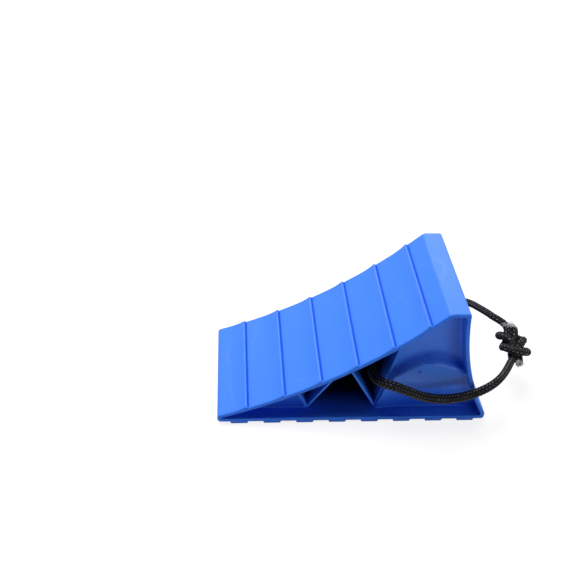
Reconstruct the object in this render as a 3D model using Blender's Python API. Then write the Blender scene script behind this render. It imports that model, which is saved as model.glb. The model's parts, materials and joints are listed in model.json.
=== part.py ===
"""Wheel chock: one ribbed plastic moulding and the knotted rope loop that carries it.

Metres, +Z up. X runs from the toe (-X) to the tall heel end (+X), Y across the width.
The origin is the middle of the footprint, on the ground.
"""
import math

import bmesh
import bpy
from mathutils import Matrix, Vector

# Overall sizes of the moulding
LENGTH = 0.200
WIDTH = 0.093
CREST_HEIGHT = 0.1068
CREST_LENGTH = 0.0140
HEEL_SWEEP = 0.0310
TOE_HEIGHT = 0.0081
HEEL_HEIGHT = 0.0069

# The ramp follows a wheel, the back is hollowed to a gentler sweep
RAMP_RADIUS = 0.400
BACK_RADIUS = 0.250

# Walls of the closed loop that the ramp, crest, back and base make
RAMP_WALL = 0.0030
CREST_WALL = 0.0030
BACK_WALL = 0.0030
BASE_WALL = 0.0030
NOSE_SOLID = 0.0055

# Tread ridges across the ramp
RIDGE_COUNT = 6
RIDGE_PITCH = 0.0292
FIRST_RIDGE = 0.0232
RIDGE_HEIGHT = 0.0010
RIDGE_STEP = 0.0008
RIDGE_RUN = 0.0120

# Grip lugs across the underside
LUG_COUNT = 8
LUG_PITCH = 0.02425
LUG_WIDTH = 0.0125
LUG_HEIGHT = 0.0020
LUG_DRAFT = 0.0010
LUG_SHIFT = 0.0009
LUG_END_INSET = 0.0006

# Rounded corners of the side outline
NOSE_ROUND = 0.0028
HEEL_ROUND = 0.0030
HEEL_TIP_ROUND = 0.0020
CREST_ROUND = 0.0022
CREST_FRONT_ROUND = 0.0040
INNER_ROUND = 0.0020
HEEL_INNER_ROUND = 0.0014

# Inner webs and the closing panels, set back from the two side faces
RECESS_A = 0.0100
RECESS_B = 0.0110
PANEL_WALL = 0.0025
WEB_WALL = 0.0022
POCKET_STEP = 0.0004
FRONT_VEE = 0.0177
REAR_VEE = -0.0334
WEB_LEANS = {"heel": 0.186, "middle_heel": -0.560, "middle_toe": 0.597, "toe": -0.470}

# Shelf across the tall pocket, with two ejector pads on its edge
SHELF_WALL = 0.0018
SHELF_AT_BACK = 0.0530
SHELF_AT_WEB = 0.0390
PAD_RADIUS = 0.0024
PAD_LENGTH = 0.0060
PAD_PLACES = (0.0388, 0.0655)

# Rope and the hole that it runs through
ROPE_DIAMETER = 0.0063
HOLE_DIAMETER = 0.0096
HOLE_X = 0.01255
HOLE_Z = 0.0401
SEAT_GAP = 0.0003
SPLICE_GAP = 0.0003
SPLICE_INSET = 0.0165

# Reef knot: two bights that hold each other, rolled about the width, and the reach of their tails
KNOT_CENTRE = (0.1264, -0.0040, 0.0388)
KNOT_ROLL = math.radians(13.0)
KNOT_ARM = 0.0062
KNOT_BEND = 0.0066
KNOT_NARROW = 0.0031
KNOT_SPREAD = 0.0032
KNOT_RISE = 0.0039
TAIL_A_REACH = (-0.0006, 0.0018, 0.0016)
TAIL_B_REACH = (-0.0016, -0.0048, 0.0)

# The tight knot draws the rope slimmer; it slims between these two distances from its tail's tip
KNOT_SLIMNESS = 0.86
SLIM_START = 0.150
SLIM_END = 0.112

# Facets, and the margin by which cutters pass through what they cut
ARC_STEP = 0.0060
CORNER_STEPS = 5
HOLE_SIDES = 32
PAD_SIDES = 20
OVERSHOOT = 0.0100
WELD_DISTANCE = 0.000001

# The most of one side that a rounded corner takes, and the rounds in which a crossing settles
CORNER_SHARE = 0.49
SETTLE_ROUNDS = 60

HALF_LENGTH = LENGTH / 2
HALF_WIDTH = WIDTH / 2
BASE_TOP = LUG_HEIGHT + BASE_WALL
CREST_BACK = HALF_LENGTH - HEEL_SWEEP
CREST_FRONT = CREST_BACK - CREST_LENGTH
PANEL_A_FACE = HALF_WIDTH - RECESS_A
PANEL_B_FACE = -HALF_WIDTH + RECESS_B
DEEP_FLOOR = BASE_TOP + POCKET_STEP
DEEP_RAMP = RAMP_WALL + POCKET_STEP
DEEP_BACK = BACK_WALL + POCKET_STEP
DEEP_ROOF = CREST_HEIGHT - CREST_WALL - POCKET_STEP
ROPE_RADIUS = ROPE_DIAMETER / 2
SPLICE_Y = PANEL_A_FACE - SPLICE_INSET
ROPE_AXIS_Z = HOLE_Z - HOLE_DIAMETER / 2 + ROPE_RADIUS + SEAT_GAP


def arc_centre(low, high, radius, left):
    """Centre of the arc of this radius through two points, on the left or right of low to high."""
    low, high = Vector(low), Vector(high)
    chord = high - low
    normal = Vector((-chord.y, chord.x)).normalized()
    reach = math.sqrt(radius ** 2 - (chord.length / 2) ** 2)
    return (low + high) / 2 + normal * (reach if left else -reach)


RAMP_CENTRE = arc_centre((-HALF_LENGTH, TOE_HEIGHT), (CREST_FRONT, CREST_HEIGHT), RAMP_RADIUS, True)
BACK_CENTRE = arc_centre((HALF_LENGTH, HEEL_HEIGHT), (CREST_BACK, CREST_HEIGHT), BACK_RADIUS, False)


def ramp_z(x, depth=0.0):
    """Height of the ramp's arc at x, sunk by depth below the outer face."""
    radius = RAMP_RADIUS + depth
    return RAMP_CENTRE.y - math.sqrt(radius ** 2 - (x - RAMP_CENTRE.x) ** 2)


def ramp_x(z, depth=0.0):
    radius = RAMP_RADIUS + depth
    return RAMP_CENTRE.x + math.sqrt(radius ** 2 - (z - RAMP_CENTRE.y) ** 2)


def back_x(z, depth=0.0):
    """Place of the hollow back at height z, sunk by depth behind the outer face."""
    radius = BACK_RADIUS + depth
    return BACK_CENTRE.x - math.sqrt(radius ** 2 - (z - BACK_CENTRE.y) ** 2)


def ramp_run(start_x, end_x, depth):
    """Points along the ramp's arc from start_x to end_x."""
    steps = max(2, round(abs(end_x - start_x) / ARC_STEP))
    places = [start_x + (end_x - start_x) * i / steps for i in range(steps + 1)]
    return [Vector((x, ramp_z(x, depth))) for x in places]


def back_run(start_z, end_z, depth):
    """Points along the hollow back from start_z to end_z."""
    steps = max(2, round(abs(end_z - start_z) / ARC_STEP))
    places = [start_z + (end_z - start_z) * i / steps for i in range(steps + 1)]
    return [Vector((back_x(z, depth), z)) for z in places]


def corner(before, at, after, radius):
    """Arc of this radius that rounds one corner of an outline, limited by its two sides."""
    before, at, after = Vector(before), Vector(at), Vector(after)
    to_before, to_after = (before - at), (after - at)
    half_angle = to_before.angle(to_after) / 2
    shorter = min(to_before.length, to_after.length)
    reach = min(radius / math.tan(half_angle), shorter * CORNER_SHARE)
    radius = reach * math.tan(half_angle)
    start = at + to_before.normalized() * reach
    end = at + to_after.normalized() * reach
    inward = (to_before.normalized() + to_after.normalized()).normalized()
    centre = at + inward * (radius / math.sin(half_angle))
    sweep = (start - centre).angle_signed(end - centre)
    return [centre + Matrix.Rotation(-sweep * i / CORNER_STEPS, 2) @ (start - centre)
            for i in range(CORNER_STEPS + 1)]


def ridged_ramp():
    """Outer ramp from the crest down to the toe: each ridge has a short step and a long curl below it."""
    slope_at_toe = math.asin((-HALF_LENGTH - RAMP_CENTRE.x) / RAMP_RADIUS)
    slope_at_crest = math.asin((CREST_FRONT - RAMP_CENTRE.x) / RAMP_RADIUS)

    def place(distance, proud):
        slope = slope_at_toe + distance / RAMP_RADIUS
        outward = Vector((-math.sin(slope), math.cos(slope)))
        return RAMP_CENTRE - outward * (RAMP_RADIUS - proud)

    end = (slope_at_crest - slope_at_toe) * RAMP_RADIUS
    ridges = [FIRST_RIDGE + RIDGE_PITCH * i for i in range(RIDGE_COUNT)]
    points = []
    above = end
    for ridge in reversed(ridges):
        foot = ridge + RIDGE_STEP
        flat_steps = max(1, round((above - foot) / ARC_STEP / 2))
        points += [place(above + (foot - above) * i / flat_steps, 0.0) for i in range(1, flat_steps + 1)]
        curl = [(share, RIDGE_HEIGHT * (1 - share) ** 2) for share in (0.0, 0.2, 0.45, 0.7, 1.0)]
        points += [place(ridge - RIDGE_RUN * share, proud) for share, proud in curl]
        above = ridge - RIDGE_RUN
    return points


def lug_outline(number):
    """One trapezoid lug, rooted halfway into the base."""
    middle = LUG_SHIFT + (number - (LUG_COUNT - 1) / 2) * LUG_PITCH
    low, high = middle - LUG_WIDTH / 2, middle + LUG_WIDTH / 2
    root = LUG_HEIGHT + BASE_WALL / 2
    foot = [(low + LUG_DRAFT, 0.0), (high - LUG_DRAFT, 0.0)]
    rest = [(high, LUG_HEIGHT), (high, root), (low, root), (low, LUG_HEIGHT)]
    return [Vector(place) for place in foot + rest]


def outer_outline():
    """Side outline of the moulding above its lugs, anticlockwise from the heel's underside."""
    toe_low, toe_top = (-HALF_LENGTH, LUG_HEIGHT), (-HALF_LENGTH, TOE_HEIGHT)
    heel_low, heel_tip = (HALF_LENGTH, LUG_HEIGHT), (HALF_LENGTH, HEEL_HEIGHT)
    crest_back, crest_front = (CREST_BACK, CREST_HEIGHT), (CREST_FRONT, CREST_HEIGHT)
    back, ramp = back_run(HEEL_HEIGHT, CREST_HEIGHT, 0.0), ridged_ramp()
    points = corner(toe_low, heel_low, heel_tip, HEEL_ROUND)
    points = points + corner(heel_low, heel_tip, back[1], HEEL_TIP_ROUND)
    points = points + back[1:-1]
    points = points + corner(back[-2], crest_back, crest_front, CREST_ROUND)
    points = points + corner(crest_back, crest_front, ramp[0], CREST_FRONT_ROUND)
    points = points + ramp
    points = points + corner(ramp[-1], toe_top, toe_low, NOSE_ROUND)
    return points + corner(toe_top, toe_low, heel_low, NOSE_ROUND)


def inner_outline():
    """Inside of the closed loop, seen from the side, which both side recesses open."""
    nose = -HALF_LENGTH + NOSE_SOLID
    roof = CREST_HEIGHT - CREST_WALL
    ramp = ramp_run(ramp_x(roof, RAMP_WALL), nose, RAMP_WALL)
    back = back_run(BASE_TOP, roof, BACK_WALL)
    nose_low = Vector((nose, BASE_TOP))
    heel = corner(nose_low, back[0], back[2], HEEL_INNER_ROUND)
    back_corner = corner(back[-2], back[-1], ramp[0], INNER_ROUND)
    front_corner = corner(back[-1], ramp[0], ramp[1], INNER_ROUND)
    return [nose_low] + heel + back[2:-1] + back_corner + front_corner + ramp[1:]


class Web:
    """A sloping web: its middle line passes through foot_x on the base and leans by lean along X."""

    def __init__(self, foot_x, lean):
        self.foot_x, self.lean = foot_x, lean
        self.half = WEB_WALL / 2 * math.hypot(1.0, lean)

    def x(self, z, side):
        return self.foot_x + self.lean * (z - BASE_TOP) + side * self.half

    def head(self, side):
        """Where one face of the web meets the underside of the ramp."""
        x = self.foot_x
        for _ in range(SETTLE_ROUNDS):
            x = self.x(ramp_z(x, DEEP_RAMP), side)
        return Vector((x, ramp_z(x, DEEP_RAMP)))

    def foot(self, side):
        return Vector((self.x(DEEP_FLOOR, side), DEEP_FLOOR))

    def meets(self, side, other, other_side):
        """Where one face of this web crosses one face of another."""
        z = BASE_TOP + (other.foot_x + other_side * other.half - self.foot_x - side * self.half) / (
            self.lean - other.lean)
        return Vector((self.x(z, side), z))


HEEL_WEB = Web(FRONT_VEE, WEB_LEANS["heel"])
MIDDLE_HEEL_WEB = Web(FRONT_VEE, WEB_LEANS["middle_heel"])
MIDDLE_TOE_WEB = Web(REAR_VEE, WEB_LEANS["middle_toe"])
TOE_WEB = Web(REAR_VEE, WEB_LEANS["toe"])
TOE_SIDE, HEEL_SIDE = -1, 1


def shelf_line(x, side):
    """Height of one face of the shelf in the tall pocket, which falls from the back to the heel web."""
    back_end = back_x(SHELF_AT_BACK, DEEP_BACK)
    web_end = HEEL_WEB.x(SHELF_AT_WEB, HEEL_SIDE)
    fall = (SHELF_AT_BACK - SHELF_AT_WEB) / (back_end - web_end)
    return SHELF_AT_WEB + fall * (x - web_end) + side * SHELF_WALL / 2 * math.hypot(1.0, fall)


def shelf_ends(side):
    """Where one face of the shelf meets the heel web and the back wall."""
    web_x, back_end = HEEL_WEB.foot_x, CREST_BACK
    for _ in range(SETTLE_ROUNDS):
        web_x = HEEL_WEB.x(shelf_line(web_x, side), HEEL_SIDE)
        back_end = back_x(shelf_line(back_end, side), DEEP_BACK)
    return Vector((web_x, shelf_line(web_x, side))), Vector((back_end, shelf_line(back_end, side)))


def tall_upper_outline():
    """Pocket between the shelf, the heel web, the ramp, the crest and the back."""
    at_web, at_back = shelf_ends(1)
    back = back_run(at_back.y, DEEP_ROOF, DEEP_BACK)
    ramp = ramp_run(ramp_x(DEEP_ROOF, DEEP_RAMP), HEEL_WEB.head(HEEL_SIDE).x, DEEP_RAMP)
    back_corner = corner(back[-2], back[-1], ramp[0], INNER_ROUND)
    front_corner = corner(back[-1], ramp[0], ramp[1], INNER_ROUND)
    return [at_web] + back[:-1] + back_corner + front_corner + ramp[1:]


def tall_lower_outline():
    """Pocket between the base, the heel web, the shelf and the back."""
    at_web, at_back = shelf_ends(-1)
    back = back_run(DEEP_FLOOR, at_back.y, DEEP_BACK)
    foot = HEEL_WEB.foot(HEEL_SIDE)
    heel = corner(foot, back[0], back[2], HEEL_INNER_ROUND)
    return [foot] + heel + back[2:] + [at_web]


def toe_outline():
    """Pocket between the base, the toe web, the ramp and the solid nose."""
    nose = -HALF_LENGTH + NOSE_SOLID + POCKET_STEP
    ramp = ramp_run(TOE_WEB.head(TOE_SIDE).x, nose, DEEP_RAMP)
    return [Vector((nose, DEEP_FLOOR)), TOE_WEB.foot(TOE_SIDE)] + ramp


def web_top(web, neighbour, side):
    """Upper end of one face of a web: on the ramp, or where its neighbour covers it below the ramp."""
    crossing = web.meets(side, neighbour, side)
    if crossing.y < ramp_z(crossing.x, DEEP_RAMP):
        return [crossing, neighbour.head(side)]
    return [web.head(side)]


def heel_vee_outline():
    """Pocket that stands on its point between the heel web and the next, and opens up to the ramp."""
    point = HEEL_WEB.meets(TOE_SIDE, MIDDLE_HEEL_WEB, HEEL_SIDE)
    covered = web_top(MIDDLE_HEEL_WEB, MIDDLE_TOE_WEB, HEEL_SIDE)
    return [point] + ramp_run(HEEL_WEB.head(TOE_SIDE).x, covered[-1].x, DEEP_RAMP) + covered[-2::-1]


def toe_vee_outline():
    """The like pocket between the toe web and its neighbour."""
    point = MIDDLE_TOE_WEB.meets(TOE_SIDE, TOE_WEB, HEEL_SIDE)
    covered = web_top(MIDDLE_TOE_WEB, MIDDLE_HEEL_WEB, TOE_SIDE)
    return [point] + covered[:-1] + ramp_run(covered[-1].x, TOE_WEB.head(HEEL_SIDE).x, DEEP_RAMP)


def middle_outline():
    """Pocket on the base between the two middle webs, which close over it."""
    top = MIDDLE_HEEL_WEB.meets(TOE_SIDE, MIDDLE_TOE_WEB, HEEL_SIDE)
    return [MIDDLE_TOE_WEB.foot(HEEL_SIDE), MIDDLE_HEEL_WEB.foot(TOE_SIDE), top]


def new_collection(name):
    collection = bpy.data.collections.new(name)
    bpy.context.scene.collection.children.link(collection)
    return collection


def material(name, colour, roughness):
    made = bpy.data.materials.new(name)
    made.use_nodes = True
    shader = made.node_tree.nodes["Principled BSDF"]
    shader.inputs["Base Color"].default_value = (*colour, 1.0)
    shader.inputs["Roughness"].default_value = roughness
    shader.inputs["Metallic"].default_value = 0.0
    return made


def prism(name, outline, low_y, high_y, collection):
    """A side outline carried across the width from low_y to high_y, as a closed mesh."""
    curve = bpy.data.curves.new(name, "CURVE")
    curve.dimensions = "2D"
    curve.fill_mode = "BOTH"
    curve.extrude = (high_y - low_y) / 2
    spline = curve.splines.new("POLY")
    spline.points.add(len(outline) - 1)
    for point, place in zip(spline.points, outline):
        point.co = (place.x, place.y, 0.0, 1.0)
    spline.use_cyclic_u = True
    drawn = bpy.data.objects.new(name + "_outline", curve)
    collection.objects.link(drawn)
    turn = Matrix.Rotation(math.pi / 2, 4, "X")
    drawn.matrix_world = Matrix.Translation((0.0, (low_y + high_y) / 2, 0.0)) @ turn
    bpy.context.view_layer.update()
    solid = drawn.evaluated_get(bpy.context.evaluated_depsgraph_get())
    mesh = bpy.data.meshes.new_from_object(solid)
    mesh.transform(drawn.matrix_world)
    welded = bmesh.new()
    welded.from_mesh(mesh)
    bmesh.ops.remove_doubles(welded, verts=welded.verts, dist=WELD_DISTANCE)
    bmesh.ops.recalc_face_normals(welded, faces=welded.faces)
    for facing in (-1, 1):
        cap = [face for face in welded.faces if face.normal.y * facing > 0.99]
        bmesh.ops.dissolve_faces(welded, faces=cap)
    welded.to_mesh(mesh)
    welded.free()
    bpy.data.objects.remove(drawn)
    made = bpy.data.objects.new(name, mesh)
    collection.objects.link(made)
    return made


def rod(name, x, z, radius, low_y, high_y, sides, collection):
    """A round rod across the width."""
    bpy.ops.mesh.primitive_cylinder_add(
        vertices=sides, radius=radius, depth=high_y - low_y,
        location=(x, (low_y + high_y) / 2, z), rotation=(math.pi / 2, 0.0, 0.0))
    made = bpy.context.object
    made.name = name
    for owner in made.users_collection:
        owner.objects.unlink(made)
    collection.objects.link(made)
    return made


def combine(body, tool, operation):
    """Cut a tool out of the body, or join it on, and leave the tool as a hidden guide."""
    change = body.modifiers.new(tool.name, "BOOLEAN")
    change.operation = operation
    change.solver = "EXACT"
    change.object = tool
    tool.hide_render = True
    tool.display_type = "WIRE"


def smooth_route(places, spacing):
    """Points at an even spacing on the smooth curve that passes through the chosen places."""
    places = [Vector(place) for place in places]
    spans = [(after - before).length for before, after in zip(places, places[1:])]
    rates = [(after - before) / span for before, after, span in zip(places, places[1:], spans)]
    inner = [(rates[i] * spans[i + 1] + rates[i + 1] * spans[i]) / (spans[i] + spans[i + 1])
             for i in range(len(spans) - 1)]
    slopes = [rates[0]] + inner + [rates[-1]]
    fine = []
    fine_steps = 24
    for i, span in enumerate(spans):
        for step in range(fine_steps):
            t = step / fine_steps
            ends = places[i] * ((1 + 2 * t) * (1 - t) ** 2) + places[i + 1] * (t ** 2 * (3 - 2 * t))
            sway = slopes[i] * (t * (1 - t) ** 2) + slopes[i + 1] * (t ** 2 * (t - 1))
            fine.append(ends + sway * span)
    fine.append(places[-1])
    lengths = [0.0]
    for before, after in zip(fine, fine[1:]):
        lengths.append(lengths[-1] + (after - before).length)
    count = max(2, round(lengths[-1] / spacing))
    route, at = [], 0
    for i in range(count + 1):
        target = lengths[-1] * i / count
        while at < len(fine) - 2 and lengths[at + 1] < target:
            at += 1
        share = (target - lengths[at]) / (lengths[at + 1] - lengths[at])
        route.append(fine[at].lerp(fine[at + 1], min(share, 1.0)))
    return route


def knot_places(end, tail_reach):
    """One bight of the reef knot, from its standing part round to its tail.

    end is +1 for the bight that enters from side A and -1 for the one from side B. Its two arms wind
    half a turn about the other bight's arms, then a half ellipse closes them on the far side.
    """
    half = KNOT_ARM + KNOT_BEND
    middle = KNOT_NARROW + KNOT_SPREAD

    def arm(along, side):
        if along > KNOT_ARM:
            across = KNOT_NARROW
        else:
            across = middle - KNOT_SPREAD * math.sin(math.pi * along / (2 * KNOT_ARM))
        rise = -KNOT_RISE * math.cos(math.pi * along / half) if along > 0 else (
            -KNOT_RISE * math.cos(math.pi * along / (2 * KNOT_ARM)))
        return Vector((side * across, end * along, end * rise))

    def bend(turn):
        across = -(middle + KNOT_SPREAD) * math.cos(turn)
        along = -KNOT_ARM - KNOT_BEND * math.sin(turn)
        return Vector((across, end * along, end * KNOT_RISE * math.sin(turn)))

    stations = [half, half * 0.75, half * 0.5, half * 0.25, 0.0, -KNOT_ARM * 0.5]
    standing = [arm(along, -1) for along in stations]
    closed = [bend(math.pi * i / 8) for i in range(9)]
    tail = [arm(along, 1) for along in reversed(stations)]
    tip = tail[-1] + Vector(tail_reach)
    roll = Matrix.Rotation(KNOT_ROLL, 3, "Y")
    return [Vector(KNOT_CENTRE) + roll @ place for place in standing + closed + tail + [tip]]


# Where the rope leaves the hole on side A, falls beside the tall pocket and rounds the heel
LEG_A_PLACES = [
    (HOLE_X, PANEL_A_FACE - 0.0020, ROPE_AXIS_Z), (HOLE_X, PANEL_A_FACE + 0.0015, ROPE_AXIS_Z),
    (0.0139, 0.0430, 0.0392), (0.0188, 0.0483, 0.0375), (0.0256, 0.0508, 0.0343),
    (0.0335, 0.0515, 0.0308), (0.0470, 0.0517, 0.0276), (0.0590, 0.0517, 0.0277),
    (0.0700, 0.0517, 0.0290), (0.0810, 0.0517, 0.0305), (0.0896, 0.0514, 0.0324),
    (0.0968, 0.0501, 0.0348), (0.1021, 0.0463, 0.0377), (0.1055, 0.0402, 0.0405),
    (0.1079, 0.0334, 0.0431), (0.1105, 0.0265, 0.0455), (0.1138, 0.0195, 0.0470),
]
# Where the rope leaves the pocket on side B, runs along the side and rounds the heel
LEG_B_PLACES = [
    (HOLE_X, 0.0000, ROPE_AXIS_Z), (HOLE_X, -0.0180, ROPE_AXIS_Z), (HOLE_X, -0.0330, ROPE_AXIS_Z),
    (0.0136, -0.0405, 0.0402), (0.0170, -0.0465, 0.0425), (0.0230, -0.0507, 0.0437),
    (0.0300, -0.0517, 0.0412), (0.0380, -0.0519, 0.0372), (0.0455, -0.0519, 0.0336),
    (0.0600, -0.0518, 0.0302), (0.0740, -0.0517, 0.0314), (0.0850, -0.0514, 0.0355),
    (0.0930, -0.0507, 0.0402), (0.0983, -0.0485, 0.0423), (0.1036, -0.0442, 0.0429),
    (0.1090, -0.0380, 0.0422), (0.1141, -0.0308, 0.0407), (0.1185, -0.0239, 0.0386),
]
LEG_SPACING = ROPE_DIAMETER * 2.0
KNOT_SPACING = ROPE_DIAMETER * 0.40
TRIAL_SPACING = ROPE_DIAMETER * 0.10


def rope_route(start, leg_places, end, tail_reach):
    """One half of the rope: straight in its hole, along its leg and through the knot to its tail."""
    knot = knot_places(end, tail_reach)
    whole = smooth_route([start] + leg_places + knot, TRIAL_SPACING)
    entry = min(range(len(whole)), key=lambda i: (whole[i] - knot[0]).length)
    return smooth_route(whole[:entry + 1], LEG_SPACING)[:-1] + smooth_route(whole[entry:], KNOT_SPACING)


def slimness(route):
    """Share of the full radius at each point of a route: whole on the leg, less where the knot draws it out."""
    left = [0.0]
    for after, before in zip(route[::-1], route[-2::-1]):
        left.append(left[-1] + (after - before).length)
    drawn = [min(max((SLIM_START - run) / (SLIM_START - SLIM_END), 0.0), 1.0) for run in reversed(left)]
    return [1 - share * (1 - KNOT_SLIMNESS) for share in drawn]


def divided(route):
    """Places and radii along a route, with each straight run cut into short steps."""
    steps = 6
    ends = list(zip(route, slimness(route)))
    runs = [(place.lerp(after, i / steps), ROPE_RADIUS * (slim + (slim_after - slim) * i / steps))
            for (place, slim), (after, slim_after) in zip(ends, ends[1:]) for i in range(steps)]
    return runs + [(ends[-1][0], ROPE_RADIUS * ends[-1][1])]


def gap_to_itself(route, skip):
    """Least gap between a tube's own turns; points nearer than skip along the tube aren't counted."""
    fine = divided(route)
    along = [0.0]
    for (before, _), (after, _) in zip(fine, fine[1:]):
        along.append(along[-1] + (after - before).length)
    return min((fine[i][0] - fine[j][0]).length - fine[i][1] - fine[j][1]
               for i in range(len(fine)) for j in range(i) if along[i] - along[j] > skip)


def gap_between(first, second):
    """Least gap between two tubes."""
    return min((a - b).length - a_radius - b_radius
               for a, a_radius in divided(first) for b, b_radius in divided(second))


def rope_tube(name, route, parent, look, collection):
    """A round rope along its route, with closed ends."""
    curve = bpy.data.curves.new(name, "CURVE")
    curve.dimensions = "3D"
    curve.bevel_depth = ROPE_RADIUS
    curve.bevel_resolution = 2
    curve.use_fill_caps = True
    spline = curve.splines.new("POLY")
    spline.points.add(len(route) - 1)
    origin = parent.location
    for point, place, slim in zip(spline.points, route, slimness(route)):
        point.co = (*(place - origin), 1.0)
        point.radius = slim
    curve.materials.append(look)
    made = bpy.data.objects.new(name, curve)
    made.parent = parent
    collection.objects.link(made)
    return made


for leftover in list(bpy.data.objects):
    bpy.data.objects.remove(leftover)
chock_parts = new_collection("wheel_chock")
chock_cutters = new_collection("wheel_chock_cutters")
blue_plastic = material("blue_plastic", (0.10, 0.30, 0.95), 0.45)
braided_cord = material("braided_cord", (0.035, 0.035, 0.037), 0.85)

# The moulding: the outer outline carried across the width, opened from both sides
chock_body = prism("chock_body", outer_outline(), -HALF_WIDTH, HALF_WIDTH, chock_parts)
chock_body.data.materials.append(blue_plastic)
PAST_A, PAST_B = HALF_WIDTH + OVERSHOOT, -HALF_WIDTH - OVERSHOOT
A_FLOOR = PANEL_B_FACE + PANEL_WALL
B_FLOOR = PANEL_A_FACE - PANEL_WALL
pockets = [
    ("recess_a", inner_outline(), PANEL_A_FACE, PAST_A),
    ("recess_b", inner_outline(), PAST_B, PANEL_B_FACE),
    ("tall_upper_pocket", tall_upper_outline(), A_FLOOR, PAST_A),
    ("tall_lower_pocket", tall_lower_outline(), A_FLOOR, PAST_A),
    ("toe_pocket", toe_outline(), A_FLOOR, PAST_A),
    ("heel_vee_pocket", heel_vee_outline(), PAST_B, B_FLOOR),
    ("toe_vee_pocket", toe_vee_outline(), PAST_B, B_FLOOR),
    ("middle_pocket", middle_outline(), PAST_B, B_FLOOR),
]
for number in range(LUG_COUNT):
    lug = prism("lug_%d" % number, lug_outline(number), LUG_END_INSET - HALF_WIDTH,
                HALF_WIDTH - LUG_END_INSET, chock_cutters)
    combine(chock_body, lug, "UNION")
for pocket, outline, low_y, high_y in pockets:
    combine(chock_body, prism(pocket, outline, low_y, high_y, chock_cutters), "DIFFERENCE")
rope_hole = rod("rope_hole", HOLE_X, HOLE_Z, HOLE_DIAMETER / 2, B_FLOOR - PANEL_WALL, PAST_A,
                HOLE_SIDES, chock_cutters)
combine(chock_body, rope_hole, "DIFFERENCE")
for number, place in enumerate(PAD_PLACES):
    pad = rod("ejector_pad_%d" % number, place, shelf_line(place, 0), PAD_RADIUS,
              PANEL_A_FACE - PAD_LENGTH, PANEL_A_FACE, PAD_SIDES, chock_cutters)
    combine(chock_body, pad, "UNION")

# The rope: two halves that meet inside the hole, turning about the hole's straight stretch
rope_pivot = bpy.data.objects.new("rope_pivot", None)
rope_pivot.location = (HOLE_X, 0.0, ROPE_AXIS_Z)
chock_parts.objects.link(rope_pivot)
route_a = rope_route((HOLE_X, SPLICE_Y + SPLICE_GAP / 2, ROPE_AXIS_Z), LEG_A_PLACES, 1, TAIL_A_REACH)
route_b = rope_route((HOLE_X, SPLICE_Y - SPLICE_GAP / 2, ROPE_AXIS_Z), LEG_B_PLACES, -1, TAIL_B_REACH)
rope_tube("rope_end_a", route_a, rope_pivot, braided_cord, chock_parts)
rope_tube("rope_end_b", route_b, rope_pivot, braided_cord, chock_parts)
SELF_SKIP = 2.2 * ROPE_DIAMETER
PAST_SPLICE = 4
print("rope points", len(route_a), len(route_b))
print("least gap of each half to itself, mm",
      [round(gap_to_itself(route, SELF_SKIP) * 1000, 3) for route in (route_a, route_b)])
print("least gap between the halves past the splice, mm",
      round(gap_between(route_a[PAST_SPLICE:], route_b[PAST_SPLICE:]) * 1000, 3))
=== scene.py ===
"""Looks of the wheel chock: the blue moulding, its braided rope loop and a white studio."""
import json
import math

import bmesh
import bpy
import numpy as np
from mathutils.geometry import delaunay_2d_cdt
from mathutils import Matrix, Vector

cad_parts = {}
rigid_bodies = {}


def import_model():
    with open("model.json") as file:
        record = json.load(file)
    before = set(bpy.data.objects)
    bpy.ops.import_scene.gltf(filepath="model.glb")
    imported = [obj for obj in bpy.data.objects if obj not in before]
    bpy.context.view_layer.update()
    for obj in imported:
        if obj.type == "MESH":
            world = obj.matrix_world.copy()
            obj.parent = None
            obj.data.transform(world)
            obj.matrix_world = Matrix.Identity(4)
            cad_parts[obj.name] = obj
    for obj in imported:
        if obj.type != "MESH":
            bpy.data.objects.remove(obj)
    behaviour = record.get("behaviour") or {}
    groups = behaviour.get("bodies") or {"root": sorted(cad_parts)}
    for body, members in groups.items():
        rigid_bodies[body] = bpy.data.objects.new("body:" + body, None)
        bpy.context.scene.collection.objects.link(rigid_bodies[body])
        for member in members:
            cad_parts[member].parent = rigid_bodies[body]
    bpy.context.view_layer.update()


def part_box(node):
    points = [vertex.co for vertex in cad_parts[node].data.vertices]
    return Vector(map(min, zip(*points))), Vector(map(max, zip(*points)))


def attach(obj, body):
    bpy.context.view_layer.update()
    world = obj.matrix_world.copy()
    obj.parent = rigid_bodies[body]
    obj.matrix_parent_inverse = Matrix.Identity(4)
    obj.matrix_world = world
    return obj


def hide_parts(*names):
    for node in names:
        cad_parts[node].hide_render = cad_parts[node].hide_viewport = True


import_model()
scene = bpy.context.scene
scene.view_settings.view_transform = "Standard"

# The camera stands in front of the low side and looks down on the ramp, as the photographer did.
# Its place and turn were fitted to the corners and ridges of the photographed chock.
CAMERA_PLACE = (-0.09259, -0.40222, 0.42635)
CAMERA_TURN = (50.272, -3.030, -3.558)
CAMERA_LENS = 46.294
SENSOR_WIDTH = 36.0
camera = bpy.data.objects.new("camera", bpy.data.cameras.new("camera"))
camera.location = CAMERA_PLACE
camera.rotation_euler = [math.radians(turn) for turn in CAMERA_TURN]
camera.data.lens = CAMERA_LENS
camera.data.sensor_width = SENSOR_WIDTH
scene.collection.objects.link(camera)
scene.camera = camera

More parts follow.
